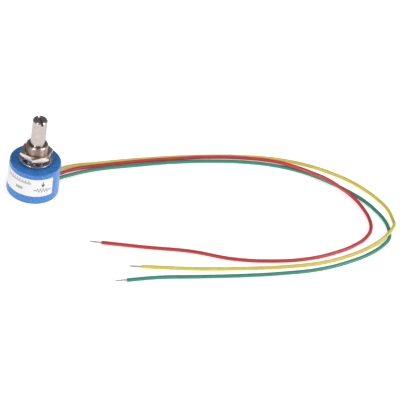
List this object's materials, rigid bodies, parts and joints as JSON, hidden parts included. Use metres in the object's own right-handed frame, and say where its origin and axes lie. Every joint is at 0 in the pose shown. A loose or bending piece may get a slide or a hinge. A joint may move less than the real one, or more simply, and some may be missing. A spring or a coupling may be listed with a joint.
{
  "type": "rotary potentiometer",
  "caption": "Round panel potentiometer with a threaded bushing, nut and toothed washer, a slotted shaft and insulated flying leads with bare tips.",
  "frame": {"origin": "centre of the flat rear face that the part stands on", "axes": "+Z along the shaft towards its slotted tip; the leads leave between +X and +Y"},
  "size_m": [0.1709, 0.1026, 0.0374],
  "materials": {
    "body_blue": "smooth moulded blue plastic",
    "cover_blue": "smooth moulded blue plastic",
    "label_white": "satin white film",
    "nickel": "bright nickel plate",
    "spring_steel": "bright spring steel",
    "stainless": "fine turned stainless steel",
    "brass_sheet": "bright brass",
    "spring_bronze": "spring bronze",
    "contact_gold": "precious metal",
    "rotor_black": "moulded black plastic",
    "former_brown": "lacquered insulated former",
    "resistance_wire": "fine resistance wire",
    "tinned_wire": "tinned copper strands",
    "solder": "bright solder",
    "insulation_yellow": "smooth yellow insulation",
    "insulation_red": "smooth red insulation",
    "insulation_green": "smooth green insulation"
  },
  "bodies": {
    "body": {"housing": "body_blue", "rear_cover": "cover_blue", "label": "label_white", "bushing": "nickel", "mounting_nut": "nickel", "lockwasher": "spring_steel", "thrust_washer": "brass_sheet", "collector_ring": "brass_sheet", "element_former": "former_brown", "resistance_winding": "resistance_wire", "end_terminal_yellow": "brass_sheet", "end_terminal_green": "brass_sheet", "lead_anchor": "rotor_black", "inner_conductors": "tinned_wire", "solder_joints": "solder", "lead_yellow": "insulation_yellow", "lead_red": "insulation_red", "lead_green": "insulation_green", "tip_yellow": "tinned_wire", "tip_red": "tinned_wire", "tip_green": "tinned_wire"},
    "spindle": {"shaft": "stainless", "retaining_ring": "spring_steel", "rotor": "rotor_black", "wiper_spring": "spring_bronze", "wiper_contact": "contact_gold", "collector_brush": "spring_bronze"}
  },
  "joints": [
    {"name": "shaft_turn", "type": "hinge", "parent": "body", "child": "spindle", "pos_m": [0, 0, 0.0154], "axis": [0, 0, 1], "range_deg": [-170, 170]}
  ]
}
